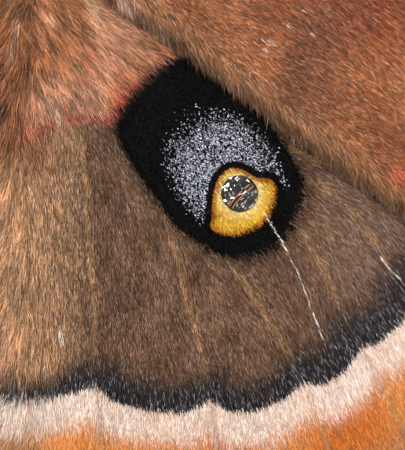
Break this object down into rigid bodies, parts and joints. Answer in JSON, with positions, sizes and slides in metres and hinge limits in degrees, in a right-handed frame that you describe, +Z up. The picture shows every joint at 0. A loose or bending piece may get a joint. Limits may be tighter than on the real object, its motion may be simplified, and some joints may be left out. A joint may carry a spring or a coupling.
{
  "type": "polyphemus moth",
  "caption": "Life-size still polyphemus moth at rest with eyespotted wings spread flat, feathery feelers, furry body and bent legs.",
  "frame": {"origin": "on the floor under the middle of the moth's box", "axes": "+X towards the tip of the right wings, +Y towards the head, +Z up from the floor"},
  "size_m": [0.1328, 0.071, 0.0131],
  "materials": {
    "body_fur": "woolly fur",
    "leg_fur": "short fur",
    "wing_scales": "powdery scales",
    "feeler_horn": "satin horn",
    "eye_lens": "glossy"
  },
  "bodies": {
    "root": {"head": "body_fur", "thorax": "body_fur", "abdomen": "body_fur", "eye_left": "eye_lens", "eye_right": "eye_lens", "feeler_left": "feeler_horn", "feeler_right": "feeler_horn", "leg_front_left": "leg_fur", "leg_front_right": "leg_fur", "leg_middle_left": "leg_fur", "leg_middle_right": "leg_fur", "leg_hind_left": "leg_fur", "leg_hind_right": "leg_fur", "wing_fore_left": "wing_scales", "wing_fore_right": "wing_scales", "wing_hind_left": "wing_scales", "wing_hind_right": "wing_scales"}
  },
  "joints": []
}
